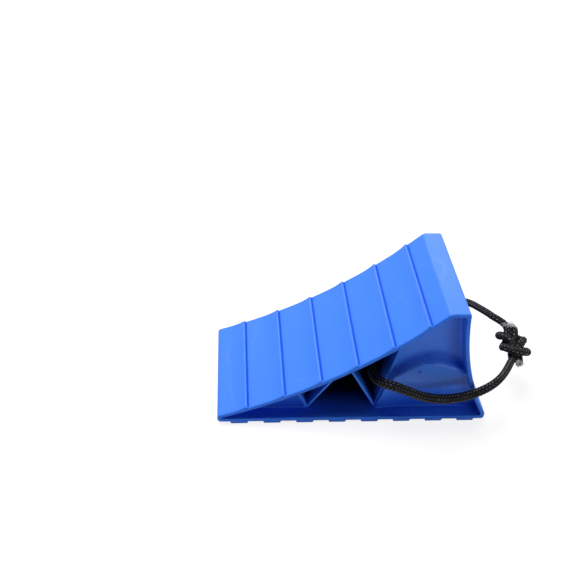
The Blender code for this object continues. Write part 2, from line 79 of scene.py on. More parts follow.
# The moulding's outer loop: ramp, crest, back and base in one closed band of polypropylene.
# It is injected in one shot with everything inside it, so its rim has a parting line all round.
MM = 0.001
LOW, HIGH = (np.array(corner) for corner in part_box("chock_body"))
HALF_WIDTH = HIGH[1]
LUG_HEIGHT = 2.0 * MM
WALL = 3.0 * MM
BASE_TOP = LUG_HEIGHT + WALL
TOE_HEIGHT = 8.1 * MM
HEEL_HEIGHT = 6.9 * MM
HEEL_SWEEP = 31.0 * MM
CREST_LENGTH = 14.0 * MM
NOSE_SOLID = 2.9 * MM
RAMP_RADIUS = 400.0 * MM
BACK_RADIUS = 250.0 * MM
TOE_TOP = np.array([LOW[0], TOE_HEIGHT])
HEEL_TOP = np.array([HIGH[0], HEEL_HEIGHT])
CREST_BACK = np.array([HIGH[0] - HEEL_SWEEP, HIGH[2]])
CREST_FRONT = CREST_BACK - [CREST_LENGTH, 0.0]
NOSE_X = LOW[0] + NOSE_SOLID


def centre_of(start, end, radius, side):
    """Centre of the circle of this radius through two points, left (1) or right (-1) of start to end."""
    chord = end - start
    half = np.hypot(*chord) / 2
    normal = np.array([-chord[1], chord[0]]) / (2 * half)
    return (start + end) / 2 + side * normal * math.sqrt(radius ** 2 - half ** 2)


RAMP_CENTRE = centre_of(TOE_TOP, CREST_FRONT, RAMP_RADIUS, 1)
BACK_CENTRE = centre_of(HEEL_TOP, CREST_BACK, BACK_RADIUS, -1)


def ramp_line(x, depth):
    """The ramp's arc at these x, sunk by depth: height is the centre's less the circle's half chord."""
    z = RAMP_CENTRE[1] - np.sqrt((RAMP_RADIUS + depth) ** 2 - (x - RAMP_CENTRE[0]) ** 2)
    return np.stack([x, z], axis=-1)


def back_line(z, depth):
    """The hollow back's arc at these heights, sunk by depth, in the same way."""
    x = BACK_CENTRE[0] - np.sqrt((BACK_RADIUS + depth) ** 2 - (z - BACK_CENTRE[1]) ** 2)
    return np.stack([x, z], axis=-1)


def ramp_x(z, depth):
    """Where the sunk ramp reaches this height."""
    return RAMP_CENTRE[0] + math.sqrt((RAMP_RADIUS + depth) ** 2 - (z - RAMP_CENTRE[1]) ** 2)


def run_of(line):
    """Distance along a polyline at each of its points."""
    return np.concatenate([[0.0], np.cumsum(np.linalg.norm(np.diff(line, axis=0), axis=1))])


def along(line, distance):
    """Points at these distances along a polyline."""
    run = run_of(line)
    return np.stack([np.interp(distance, run, line[:, k]) for k in range(line.shape[1])], axis=-1)


CORNER_SHARE = 0.49
CORNER_STEPS = 10
POINT_GAP = 1e-6


def closed_outline(sides, rounds):
    """A closed outline of sides, each a polyline, with a rounded corner at the start of each.

    A corner takes radius over the tangent of its half angle off both sides, up to CORNER_SHARE of them. Its
    arc is the conic with the corner as control point and the half angle's sine as weight, which is a circle
    between straight sides. Returns the points and the distance along them to the middle of each corner.
    """
    count = len(sides)
    length = [run_of(side)[-1] for side in sides]
    reach, half = [], []
    for i, radius in enumerate(rounds):
        arrive = sides[i - 1][-2] - sides[i - 1][-1]
        leave = sides[i][1] - sides[i][0]
        cosine = arrive @ leave / (np.hypot(*arrive) * np.hypot(*leave))
        half.append(math.acos(np.clip(cosine, -1.0, 1.0)) / 2)
        most = CORNER_SHARE * min(length[i - 1], length[i])
        reach.append(min(radius / math.tan(half[i]), most))
    t = np.linspace(0.0, 1.0, CORNER_STEPS + 1)[:, None]
    points, middles = [], []
    for i, side in enumerate(sides):
        start = along(sides[i - 1], length[i - 1] - reach[i])
        end = along(side, reach[i])
        weight = math.sin(half[i])
        bend = (1 - t) ** 2 * start + 2 * weight * t * (1 - t) * side[0] + t ** 2 * end
        bend = bend / ((1 - t) ** 2 + 2 * weight * t * (1 - t) + t ** 2)
        run = run_of(side)
        last = length[i] - reach[(i + 1) % count]
        middles.append(sum(len(stretch) for stretch in points) + CORNER_STEPS // 2)
        points += [bend, side[(run > reach[i] + POINT_GAP) & (run < last - POINT_GAP)]]
    points = np.concatenate(points)
    return points, run_of(points)[middles]


# Tread ridges: each curls up out of the ramp, rounds over and drops into a narrow root on its uphill side
RIDGE_COUNT = 6
RIDGE_PITCH = 29.2 * MM
FIRST_RIDGE = 23.2 * MM
RIDGES = FIRST_RIDGE + RIDGE_PITCH * np.arange(RIDGE_COUNT)
RIDGE_CURL = np.array([-18.0, -14.0, -8.0, -3.5, -1.5, -0.6, 0.0, 0.30, 0.65, 0.95, 1.45, 2.2, 2.6]) * MM
RIDGE_RISE = np.array([0.0, 0.0, 0.22, 0.74, 1.18, 1.40, 1.40, 1.00, 0.10, -0.28, -0.14, 0.0, 0.0]) * MM


def smooth_through(x, knots_x, knots_y):
    """Cubic curve through the knots at these x, with each knot's slope taken from its two neighbours."""
    slope = np.gradient(knots_y, knots_x)
    x = np.clip(x, knots_x[0], knots_x[-1])
    i = np.clip(np.searchsorted(knots_x, x) - 1, 0, len(knots_x) - 2)
    width = knots_x[i + 1] - knots_x[i]
    t = (x - knots_x[i]) / width
    return ((1 + 2 * t) * (1 - t) ** 2 * knots_y[i] + t * (1 - t) ** 2 * width * slope[i]
            + t ** 2 * (3 - 2 * t) * knots_y[i + 1] + t ** 2 * (t - 1) * width * slope[i + 1])


def ridge_height(distance):
    """How proud the ramp stands at these distances from the toe along its arc: one curl per ridge.

    The curl is the smooth curve through the heights RIDGE_RISE at the distances RIDGE_CURL from the ridge.
    """
    apart = distance - RIDGES[np.abs(distance[:, None] - RIDGES - RIDGE_CURL[0] / 2).argmin(axis=1)]
    return smooth_through(apart, RIDGE_CURL, RIDGE_RISE)


def merged(values):
    """The values in order, with those that agree to a thousandth of a millimetre made one."""
    return np.unique(np.round(values, 6))


RAMP_STEP = 1.6 * MM
RIDGE_STOPS = np.linspace(-3.0 * MM, 2.4 * MM, 25)
toe_angle = math.asin((TOE_TOP[0] - RAMP_CENTRE[0]) / RAMP_RADIUS)
ramp_length = (math.asin((CREST_FRONT[0] - RAMP_CENTRE[0]) / RAMP_RADIUS) - toe_angle) * RAMP_RADIUS
stops = merged(np.concatenate([np.arange(0.0, ramp_length, RAMP_STEP), [ramp_length],
                               (RIDGES[:, None] + RIDGE_STOPS).ravel()]))
turn = toe_angle + stops / RAMP_RADIUS
ramp_outer = RAMP_CENTRE + np.stack([np.sin(turn), -np.cos(turn)], axis=-1) * (
    RAMP_RADIUS - ridge_height(stops))[:, None]

# Grip lugs across the underside, moulded with the base; their ends are flush with its sides
LUG_COUNT = 8
LUG_PITCH = 24.25 * MM
LUG_SHIFT = 0.9 * MM
LUG_HALF = 6.7 * MM
LUG_DRAFT = 0.8 * MM
LUG_MIDDLES = LUG_SHIFT + LUG_PITCH * (np.arange(LUG_COUNT) - (LUG_COUNT - 1) / 2)
DRAFT_STOPS = np.array([-0.15, 0.0, 0.15, 0.4, 0.85, 1.0, 1.15])
BASE_POINTS = 80
lug_edges = LUG_HALF - LUG_DRAFT * DRAFT_STOPS
base_x = merged(np.concatenate([np.linspace(LOW[0], HIGH[0], BASE_POINTS),
                                (LUG_MIDDLES[:, None] + lug_edges).ravel(),
                                (LUG_MIDDLES[:, None] - lug_edges).ravel()]))
base_outer = np.stack([base_x, np.full_like(base_x, LUG_HEIGHT)], axis=-1)


def lug_depth(x):
    """How far the lugs stand down at these x: a flat foot with sides that ease away over the draft."""
    inside = LUG_HALF - np.abs(x[:, None] - LUG_MIDDLES).min(axis=1)
    share = np.clip(inside / LUG_DRAFT, 0.0, 1.0)
    return LUG_HEIGHT * share * share * (3 - 2 * share)


def line(start, end, count):
    """Evenly spaced points from start to end."""
    return np.array(start) + np.linspace(0.0, 1.0, count)[:, None] * (np.array(end) - np.array(start))


# Corner radii in the order of the sides: base, heel, back, crest, ramp and toe; the inside has no heel side
OUTER_ROUNDS = np.array([2.8, 3.0, 2.0, 2.4, 5.0, 2.8]) * MM
INNER_ROUNDS = np.array([0.6, 1.4, 2.2, 3.0, 0.6]) * MM
outer, outer_marks = closed_outline([
    base_outer,
    line((HIGH[0], LUG_HEIGHT), HEEL_TOP, 3),
    back_line(np.linspace(HEEL_TOP[1], CREST_BACK[1], 64), 0.0),
    line(CREST_BACK, CREST_FRONT, 8),
    ramp_outer[::-1],
    line(TOE_TOP, (LOW[0], LUG_HEIGHT), 3),
], OUTER_ROUNDS)

roof = HIGH[2] - WALL
inner_ramp_top = ramp_x(roof, WALL)
inner_nose_top = ramp_line(np.array([NOSE_X]), WALL)[0]
inner, inner_marks = closed_outline([
    line((NOSE_X, BASE_TOP), (back_line(np.array([BASE_TOP]), WALL)[0, 0], BASE_TOP), 90),
    back_line(np.linspace(BASE_TOP, roof, 50), WALL),
    line((back_line(np.array([roof]), WALL)[0, 0], roof), (inner_ramp_top, roof), 8),
    ramp_line(np.linspace(inner_ramp_top, NOSE_X, 90), WALL),
    line(inner_nose_top, (NOSE_X, BASE_TOP), 4),
], INNER_ROUNDS)

# The rim has rounded edges, sharper near the ground, and a shallow parting line at a share of the wall
RIM_ROUND = 1.1 * MM
RIM_INNER_ROUND = 0.8 * MM
FOOT_ROUND = 0.4 * MM
FOOT_RISE = 3.0 * MM
ROUND_STEPS = 6
PARTING_DEPTH = 0.12 * MM
PARTING_LINE = ((0.2, 0.0), (0.36, 0.0), (0.42, 1.0), (0.50, 1.0), (0.56, 0.0), (0.85, 0.0))
FACE_INSETS = np.array([0.0, 0.4, 1.6, 5.0, 15.0, 30.0]) * MM
EDGE_INSET = 0.5 * MM
INSIDE_INSET = 26.0 * MM
LEVEL_SLACK = 0.01 * MM


def grid_mesh(name, rows, capped):
    """A mesh over rows of points, each row a closed ring, joined into quads.

    With caps a flat face closes the first and the last ring; without them the last ring joins the first.
    """
    number = np.arange(rows.size // 3).reshape(rows.shape[:2])
    down = number if capped else np.concatenate([number, number[:1]])
    right = np.roll(down, -1, axis=1)
    faces = np.stack([down[:-1], right[:-1], right[1:], down[1:]], axis=-1).reshape(-1, 4).tolist()
    if capped:
        faces += [number[0].tolist(), number[-1, ::-1].tolist()]
    mesh = bpy.data.meshes.new(name)
    mesh.from_pydata(rows.reshape(-1, 3), [], faces)
    return mesh


def moulding_band():
    """The closed loop of ramp, crest, back and base, with the lugs under it.

    Each outer point is paired with an inner one, corner with corner. Across the width the section runs over
    the outer face, round the rim's edge, down the rim past its parting line, round the inner edge and back
    over the inside. Under the base the outer points stand down by the depth of the lugs.
    """
    run = run_of(outer)
    outer_loop = np.vstack([outer, outer[:1]])
    inner_loop = np.vstack([inner, inner[:1]])
    whole = run_of(outer_loop)[-1]
    inside = run_of(inner_loop)[-1]
    toe_low, heel_low, heel_top, crest_back, crest_front, toe_top = outer_marks
    from_marks = np.array([toe_low, (heel_low + heel_top) / 2, crest_back, crest_front, toe_top,
                           toe_low + whole])
    to_marks = np.append(inner_marks, inner_marks[0] + inside)
    place = np.interp(np.where(run < toe_low, run + whole, run), from_marks, to_marks) % inside
    facing = along(inner_loop, place)
    apart = facing - outer
    wall = np.linalg.norm(apart, axis=1, keepdims=True)
    inward = apart / wall
    under = np.where(outer[:, 1] < LUG_HEIGHT + LEVEL_SLACK, lug_depth(outer[:, 0]), 0.0)
    footed = outer - under[:, None] * [0.0, 1.0]
    lift = np.clip((outer[:, 1] - LUG_HEIGHT) / FOOT_RISE, 0.0, 1.0)
    soft = FOOT_ROUND + (RIM_ROUND - FOOT_ROUND) * lift * lift * (3 - 2 * lift)
    side = np.full_like(soft, HALF_WIDTH)

    def row(places, y):
        return np.stack([places[:, 0], y, places[:, 1]], axis=-1)

    face = [(footed, side - soft - inset) for inset in FACE_INSETS]
    quarter = np.linspace(0.0, math.pi / 2, ROUND_STEPS)
    rim = [(footed + inward * (soft * (1 - math.cos(a)))[:, None], side - soft * (1 - math.sin(a)))
           for a in quarter[1:]]
    for share, sunk in PARTING_LINE:
        level = soft[:, None] + (wall - soft[:, None] - RIM_INNER_ROUND) * share
        rim.append((outer + inward * level, side - sunk * PARTING_DEPTH))
    rim += [(facing - inward * RIM_INNER_ROUND * (1 - math.sin(a)),
             side - RIM_INNER_ROUND * (1 - math.cos(a))) for a in quarter]
    rim.append((facing, side - RIM_INNER_ROUND - EDGE_INSET))
    half_ring = face[::-1] + rim + [(facing, side - INSIDE_INSET)]
    rows = [row(places, y) for places, y in half_ring]
    rows += [row(places, -y) for places, y in reversed(half_ring)]
    return grid_mesh("moulding_band", np.array(rows), False)


band = bpy.data.objects.new("chock_moulding", moulding_band())
scene.collection.objects.link(band)

# Four sloping webs inside the loop, moulded with it, stand on the base and hold up the ramp.
# Their free edges are rounded and stand a hair proud of the panels between them.
SIDE_A = HALF_WIDTH - 10.0 * MM
SIDE_B = -HALF_WIDTH + 11.0 * MM
PANEL = 2.5 * MM
WEB = 1.8 * MM
PROUD = 0.30 * MM
BURIED = 1.5 * MM
FRONT_VEE = 17.7 * MM
REAR_VEE = -33.4 * MM
# Each web's foot, its lean and how far it reaches across to side A
WEBS = {
    "heel": (FRONT_VEE, 0.186, SIDE_A + PROUD),
    "middle_heel": (FRONT_VEE, -0.560, SIDE_A - PANEL / 2),
    "middle_toe": (REAR_VEE, 0.597, SIDE_A - PANEL / 2),
    "toe": (REAR_VEE, -0.470, SIDE_A + PROUD),
}
WEB_ROUND = 0.65 * MM
SETTLE_ROUNDS = 60


def web_x(web, z):
    """Place of a web's middle line at these heights."""
    foot, lean = WEBS[web][:2]
    return foot + lean * (z - BASE_TOP)


def web_head(web, depth):
    """Where a web's middle line meets the ramp sunk by depth, found by closing in on it."""
    z = BASE_TOP
    for _ in range(SETTLE_ROUNDS):
        z = ramp_line(np.array([web_x(web, z)]), depth)[0, 1]
    return np.array([web_x(web, z), z])


def rounded_plate(name, start, end, thick, low_y, high_y, reach):
    """A plate between two points of the side view.

    Its section, a rectangle of thickness and width with edges rounded by reach, is carried from end to end.
    """
    direction = (end - start) / np.hypot(*(end - start))
    normal = np.array([-direction[1], direction[0]])
    quarter = np.linspace(0.0, math.pi / 2, ROUND_STEPS)
    across = thick / 2 - reach
    a = np.concatenate([across + reach * np.cos(quarter), -across - reach * np.sin(quarter),
                        -across - reach * np.cos(quarter), across + reach * np.sin(quarter)])
    y = np.concatenate([high_y - reach + reach * np.sin(quarter), high_y - reach + reach * np.cos(quarter),
                        low_y + reach - reach * np.sin(quarter), low_y + reach - reach * np.cos(quarter)])
    ends = []
    for place in (start, end):
        flat = place + a[:, None] * normal
        ends.append(np.stack([flat[:, 0], y, flat[:, 1]], axis=-1))
    return grid_mesh(name, np.array(ends), True)


fillings = bpy.data.collections.new("fillings")
scene.collection.children.link(fillings)


def filling(mesh):
    """A solid that waits to be joined to the band."""
    fillings.objects.link(bpy.data.objects.new(mesh.name, mesh))


low = BASE_TOP - BURIED
half = WALL - BURIED
for web, (_, _, far_edge) in WEBS.items():
    start = np.array([web_x(web, low), low])
    head = web_head(web, half)
    filling(rounded_plate("web_" + web, start, head, WEB, SIDE_B - PROUD, far_edge, WEB_ROUND))

# A thin shelf, moulded across the tall pocket, stiffens its panel and walls.
# Two round pads stand on its front edge, where pins of the tool pushed the moulding out.
SHELF = 1.8 * MM
SHELF_ROUND = 0.6 * MM
SHELF_BACK_Z = 53.0 * MM
SHELF_WEB_Z = 39.0 * MM
PAD_RADIUS = 2.4 * MM
PAD_LENGTH = 6.0 * MM
PAD_ROUND = 0.6 * MM
PAD_ROUND_STEPS = 5
PAD_SIDES = 40
PAD_PLACES = (38.8 * MM, 65.5 * MM)
shelf_start = np.array([web_x("heel", SHELF_WEB_Z), SHELF_WEB_Z])
shelf_end = np.array([back_line(np.array([SHELF_BACK_Z]), BURIED)[0, 0], SHELF_BACK_Z])
filling(rounded_plate("shelf", shelf_start, shelf_end, SHELF, SIDE_B + PANEL / 2, SIDE_A, SHELF_ROUND))


def ejector_pad(name, x):
    """A round pad turned about an axis across the width: its profile is a rod with a rounded front edge."""
    z = np.interp(x, [shelf_start[0], shelf_end[0]], [shelf_start[1], shelf_end[1]])
    quarter = np.linspace(0.0, math.pi / 2, PAD_ROUND_STEPS)
    radius = np.concatenate([[PAD_RADIUS], PAD_RADIUS - PAD_ROUND * (1 - np.cos(quarter))])
    front = SIDE_A + PROUD
    y = np.concatenate([[front - PAD_LENGTH], front - PAD_ROUND * (1 - np.sin(quarter))])
    turn = np.linspace(0.0, 2 * math.pi, PAD_SIDES, endpoint=False)
    rows = np.stack([x + radius[:, None] * np.cos(turn), np.repeat(y[:, None], PAD_SIDES, axis=1),
                     z + radius[:, None] * np.sin(turn)], axis=-1)
    return grid_mesh(name, rows, True)


for number, x in enumerate(PAD_PLACES):
    filling(ejector_pad("ejector_pad_%d" % number, x))

# Closing panels between the webs, moulded with them and set back from both sides, with a fillet all round.
# The tall panel swells out below an arch and bears the gate mark; the middle panel has the rope hole.
FILLET = 0.9 * MM
STEEPEST = 0.98
HOLE = np.array([12.55 * MM, 40.1 * MM])
HOLE_RADIUS = 4.8 * MM
HOLE_ROUND = 0.8 * MM
ARCH_X = np.array([20.0, 25.5, 30.7, 40.8, 47.6, 54.8, 66.3, 80.6, 90.0]) * MM
ARCH_Z = np.array([40.0, 44.8, 49.5, 57.0, 59.8, 60.0, 56.5, 49.8, 45.0]) * MM
ARCH_DROP = 5.5 * MM
ARCH_FALL = 42.0 * MM
ARCH_SWELL = 5.5 * MM
GATE = np.array([45.8 * MM, 46.6 * MM])
GATE_HEIGHT = 2.0 * MM
GATE_RADIUS = 1.15 * MM
NET_STEP = 1.6 * MM
CIRCLE_SIDES = 48
FILLET_RINGS = (0.02, 0.10, 0.25, 0.45, 0.70, 0.95)
HOLE_RINGS = (0.06, 0.2, 0.45, 0.75, 1.0)
GATE_RINGS = (0.0, 0.25, 0.5, 0.75, 1.0, 1.3, 1.7)
BORDER_CLEAR = 0.1 * MM
HOLE_CLEAR = 0.02 * MM
HOLE_INSIDE = 0.999 * HOLE_RADIUS
MERGE_REACH = 1e-9


def distance_to(points, loop):
    """Distance from each point to the nearest stretch of a closed outline, and whether it lies inside."""
    start, end = loop, np.roll(loop, -1, axis=0)
    edge = end - start
    offset = points[:, None] - start
    share = np.clip((offset * edge).sum(-1) / (edge ** 2).sum(-1), 0.0, 1.0)
    apart = np.linalg.norm(offset - share[..., None] * edge, axis=-1).min(axis=1)
    rising = (start[:, 1] > points[:, None, 1]) != (end[:, 1] > points[:, None, 1])
    lift = np.where(rising, edge[:, 1], 1.0)
    cross = start[:, 0] + (points[:, None, 1] - start[:, 1]) * edge[:, 0] / lift
    return apart, (rising & (points[:, None, 0] < cross)).sum(axis=1) % 2 == 1


def quarter_round(near, radius):
    """Height of a quarter circle of this radius, from 0 where near is 0 to almost upright where it is 1."""
    return radius * (1 - np.sqrt(1 - near ** 2 * STEEPEST))


def panel_relief(points, walls, face):
    """How far a panel's face leaves its plane, outwards positive.

    Within FILLET of the walls it rises on a quarter circle. Below the arch the tall panel swells by
    ARCH_SWELL over ARCH_DROP and falls back over ARCH_FALL, and its gate mark is a bell curve. Round the
    hole the edge sinks on a quarter circle.
    """
    apart, inside = distance_to(points, walls)
    near = np.clip(1 - np.where(inside, apart, 0.0) / FILLET, 0.0, 1.0)
    relief = quarter_round(near, FILLET)
    if face == "tall":
        below = smooth_through(points[:, 0], ARCH_X, ARCH_Z) - points[:, 1]
        step = np.clip(below / ARCH_DROP, 0.0, 1.0)
        fall = np.clip((below - ARCH_DROP) / ARCH_FALL, 0.0, 1.0)
        relief = relief + ARCH_SWELL * step ** 2 * (2 - step) * (1 - fall)
        nub = np.linalg.norm(points - GATE, axis=1)
        relief = relief + GATE_HEIGHT * np.exp(-(nub / GATE_RADIUS) ** 2)
    if face == "middle":
        edge = np.linalg.norm(points - HOLE, axis=1) - HOLE_RADIUS
        near = np.clip(1 - edge / HOLE_ROUND, 0.0, 1.0)
        relief = relief - quarter_round(near, HOLE_ROUND)
    return relief


def panel_slab(face, border, facing, plane):
    """A panel, PANEL deep inside its border: its back is flat, its front a fine net lifted by the relief."""
    x, z = (np.arange(border[:, k].min(), border[:, k].max(), NET_STEP) for k in (0, 1))
    net = np.stack(np.meshgrid(x, z), axis=-1)
    tangent = np.roll(inner, -1, axis=0) - np.roll(inner, 1, axis=0)
    inwards = np.stack([-tangent[:, 1], tangent[:, 0]], axis=-1) / np.linalg.norm(tangent, axis=1)[:, None]
    rings = [inner + inwards * inset * MM for inset in FILLET_RINGS]
    loops = [border]
    turn = np.linspace(0.0, 2 * math.pi, CIRCLE_SIDES, endpoint=False)
    circle = np.stack([np.cos(turn), np.sin(turn)], axis=-1)
    if face == "middle":
        loops.append(HOLE + HOLE_RADIUS * circle)
        rings += [HOLE + (HOLE_RADIUS + out * HOLE_ROUND) * circle for out in HOLE_RINGS]
    if face == "tall":
        rings += [GATE + out * GATE_RADIUS * circle for out in GATE_RINGS]
    spare = np.concatenate([net.reshape(-1, 2)] + rings)
    apart, inside = distance_to(spare, border)
    keep = inside & (apart > BORDER_CLEAR)
    if face == "middle":
        keep &= np.linalg.norm(spare - HOLE, axis=1) > HOLE_RADIUS + HOLE_CLEAR
    points = np.concatenate([*loops, spare[keep]])
    edges = []
    for loop in loops:
        number = np.arange(len(loop))
        edges += (len(edges) + np.stack([number, np.roll(number, -1)], axis=-1)).tolist()
    flat, _, triangles, origin, _, _ = delaunay_2d_cdt(points.tolist(), edges, [], 0, MERGE_REACH)
    flat, triangles = np.array([tuple(p) for p in flat]), np.array(triangles)
    middles = flat[triangles].mean(axis=1)
    wanted = distance_to(middles, border)[1]
    if face == "middle":
        wanted &= np.linalg.norm(middles - HOLE, axis=1) > HOLE_INSIDE
    triangles = triangles[wanted]
    front_y = plane + facing * panel_relief(flat, inner, face)
    front = np.stack([flat[:, 0], front_y, flat[:, 1]], axis=-1)
    back = np.stack([flat[:, 0], np.full(len(flat), plane - facing * PANEL), flat[:, 1]], axis=-1)
    first = {source[0]: i for i, source in enumerate(origin) if source}
    count = len(flat)
    walls = [(first[a], first[b], first[b] + count, first[a] + count) for a, b in edges]
    mesh = bpy.data.meshes.new("panel_" + face)
    mesh.from_pydata(np.concatenate([front, back]), [],
                     [tuple(t) for t in triangles] + [tuple(t[::-1] + count) for t in triangles] + walls)
    return mesh


top = HIGH[2] - half
heel_head, toe_head = web_head("heel", half), web_head("toe", half)
crest_x = ramp_x(top, half)
tall_border = np.concatenate([
    line((web_x("heel", low), low), (back_line(np.array([low]), half)[0, 0], low), 30)[:-1],
    back_line(np.linspace(low, top, 40), half)[:-1],
    line((back_line(np.array([top]), half)[0, 0], top), (crest_x, top), 4)[:-1],
    ramp_line(np.linspace(crest_x, heel_head[0], 20), half)[:-1],
    line(heel_head, (web_x("heel", low), low), 20)[:-1]])
middle_border = np.concatenate([
    line((web_x("toe", low), low), (web_x("heel", low), low), 30)[:-1],
    line((web_x("heel", low), low), heel_head, 20)[:-1],
    ramp_line(np.linspace(heel_head[0], toe_head[0], 40), half)[:-1],
    line(toe_head, (web_x("toe", low), low), 12)[:-1]])
toe_start = NOSE_X - BURIED
toe_border = np.concatenate([
    line((toe_start, low), (web_x("toe", low), low), 30)[:-1],
    line((web_x("toe", low), low), toe_head, 12)[:-1],
    ramp_line(np.linspace(toe_head[0], toe_start, 30), half)[:-1],
    line(ramp_line(np.array([toe_start]), half)[0], (toe_start, low), 3)[:-1]])
filling(panel_slab("tall", tall_border, -1, SIDE_B))
filling(panel_slab("toe", toe_border, -1, SIDE_B))
filling(panel_slab("middle", middle_border, 1, SIDE_A))

# The whole moulding is one piece of plastic, so the band, webs, shelf, pads and panels become one skin.
# It comes out of the tool in satin blue, with crisp edges only where faces meet steeply.
SHARP_FROM = math.radians(34)


def turned_out(mesh):
    """Faces turned to point out of a closed mesh."""
    work = bmesh.new()
    work.from_mesh(mesh)
    bmesh.ops.recalc_face_normals(work, faces=work.faces)
    work.to_mesh(mesh)
    work.free()


for solid in [band, *fillings.objects]:
    turned_out(solid.data)
joined = band.modifiers.new("joined", "BOOLEAN")
joined.operation = "UNION"
joined.solver = "EXACT"
joined.operand_type = "COLLECTION"
joined.collection = fillings
bpy.context.view_layer.update()
skin = bpy.data.meshes.new_from_object(band.evaluated_get(bpy.context.evaluated_depsgraph_get()))
band.modifiers.clear()
band.data = skin
for solid in list(fillings.objects):
    bpy.data.objects.remove(solid)
bpy.data.collections.remove(fillings)
skin.shade_smooth()
skin.set_sharp_from_angle(angle=SHARP_FROM)
place = np.empty(3 * len(skin.vertices), dtype=np.float32)
skin.vertices.foreach_get("co", place)
place = place.reshape(-1, 3).astype(float)

# Where light and shade are painted into the colour: painted shade in the ridges' roots, painted highlights
# on their crowns and on the rims, and painted shade in and before the pockets
ROOT_AT, ROOT_REACH = 0.80 * MM, 0.66 * MM
CROWN_AT, CROWN_REACH = -0.25 * MM, 0.60 * MM
SKIN_DEEP = 0.25 * MM
CREST_CLEAR = 4.0 * MM
RIM_CLEAR, RIM_FADE = 0.9 * MM, 0.5 * MM
WEB_SHARE = 0.6


def ridge_shade_and_highlight(points):
    """How much of a ridge's root (1), which gets painted shade, or crown (1), which gets a painted
    highlight, each point is: bell curves on either side of the step.
    """
    across, up = points[:, 0] - RAMP_CENTRE[0], RAMP_CENTRE[1] - points[:, 2]
    distance = (np.arctan2(across, up) - toe_angle) * RAMP_RADIUS
    sunk = np.hypot(across, up) - RAMP_RADIUS + ridge_height(distance)
    apart = distance[:, None] - RIDGES
    skin_deep = (np.abs(sunk) < SKIN_DEEP) & (distance < ramp_length - CREST_CLEAR)
    clear = np.clip((HALF_WIDTH - np.abs(points[:, 1]) - RIM_CLEAR) / RIM_FADE, 0.0, 1.0) * skin_deep
    root = np.exp(-((apart - ROOT_AT) / ROOT_REACH) ** 2).max(axis=1)
    crown = np.exp(-((apart - CROWN_AT) / CROWN_REACH) ** 2).max(axis=1)
    return root * clear, crown * clear


def rim_highlight_marks(points):
    """How much of a free edge (1) each point is, fading over the rounding of the rims and of the webs, where
    a highlight is painted.
    """
    x, y, z = points.T
    edge = np.clip(1 - (HALF_WIDTH - np.abs(y)) / RIM_ROUND, 0.0, 1.0)
    for web, (_, lean, far_edge) in WEBS.items():
        on_web = np.abs(x - web_x(web, z)) < WEB_SHARE * WEB * math.hypot(1.0, lean)
        near_side = np.clip(1 - (y - SIDE_B + PROUD) / WEB_ROUND, 0.0, 1.0) * (y > SIDE_B - 2 * PROUD)
        far_side = np.clip(1 - (far_edge - y) / WEB_ROUND, 0.0, 1.0) * (y < far_edge + PROUD)
        edge = np.maximum(edge, on_web * np.maximum(near_side, far_side * (far_edge > SIDE_A)))
    return edge


# Painted shade: darker deeper in the pockets, towards the panels' feet and in a band along the arch
WALL_SLACK = 0.1 * MM
WALL_CLEAR = 0.3 * MM
FOOT_SHADE = 32.0 * MM
ARCH_SHADE = 0.68
ARCH_SHADE_OVER = 0.5 * MM
ARCH_SHADE_REACH = 3.6 * MM


def painted_pocket_shade(points):
    """How far inside its pocket each point lies, in metres, and how much painted shade (1) a panel gets.

    Between the toe web and the heel web the pockets open to side B, elsewhere to side A. Points outside the
    sunk arcs of the ramp and the back, below the base's top or in front of a closing panel count as not
    inside; the depth sets how much painted shade a point gets. In front of a panel the painted shade fades
    evenly over FOOT_SHADE above the base, and a bell curve of it follows the arch.
    """
    x, y, z = points.T
    under_ramp = np.hypot(x - RAMP_CENTRE[0], z - RAMP_CENTRE[1]) - RAMP_RADIUS
    under_back = np.hypot(x - BACK_CENTRE[0], z - BACK_CENTRE[1]) - BACK_RADIUS
    sunk = np.minimum(np.minimum(under_ramp, under_back) - WALL, np.minimum(z - BASE_TOP, roof - z))
    to_b = (x > web_x("toe", z)) & (x < web_x("heel", z))
    depth = np.where(to_b, y - SIDE_B, SIDE_A - y)
    behind = np.where(to_b, y < SIDE_A - PANEL / 2, y > SIDE_B + PANEL / 2)
    foot = np.clip(1 - (z - BASE_TOP) / FOOT_SHADE, 0.0, 1.0)
    over = z - smooth_through(x, ARCH_X, ARCH_Z) - ARCH_SHADE_OVER
    arch = ARCH_SHADE * np.exp(-(over / ARCH_SHADE_REACH) ** 2) * (x > web_x("heel", z)) * (y < 0)
    shade = np.maximum(foot, arch) * ~behind * (sunk > WALL_CLEAR)
    return np.where(behind & (sunk > -WALL_SLACK), depth, 0.0), shade


# Masks for painted light; the panels' painted shade joins the ridge roots' mark
root, crown = ridge_shade_and_highlight(place)
rim = rim_highlight_marks(place)
deep, shade = painted_pocket_shade(place)
root = np.maximum(root, shade * (1 - rim))
for name, value in (("root", root), ("crown", crown), ("rim", rim), ("deep", deep)):
    mark = skin.attributes.new(name, "FLOAT", "POINT")
    mark.data.foreach_set("value", value.astype(np.float32))


def add_node(tree, kind, settings=(), **values):
    """A node with its properties set and its inputs given as values, or as outputs to link.

    An input is named with underscores for spaces, or by its number after one underscore.
    """
    made = tree.nodes.new(kind)
    for name, value in dict(settings).items():
        setattr(made, name, value)
    for name, value in values.items():
        socket = made.inputs[int(name[1:]) if name[1:].isdigit() else name.replace("_", " ")]
        if isinstance(value, bpy.types.NodeSocket):
            tree.links.new(value, socket)
        else:
            socket.default_value = value
    return made


def mixed(tree, share, first, second):
    """The first colour turned into the second by a share, each a value or an output."""
    blend = add_node(tree, "ShaderNodeMix", {"data_type": "RGBA"}, Factor=share, A=first, B=second)
    return blend.outputs["Result"]


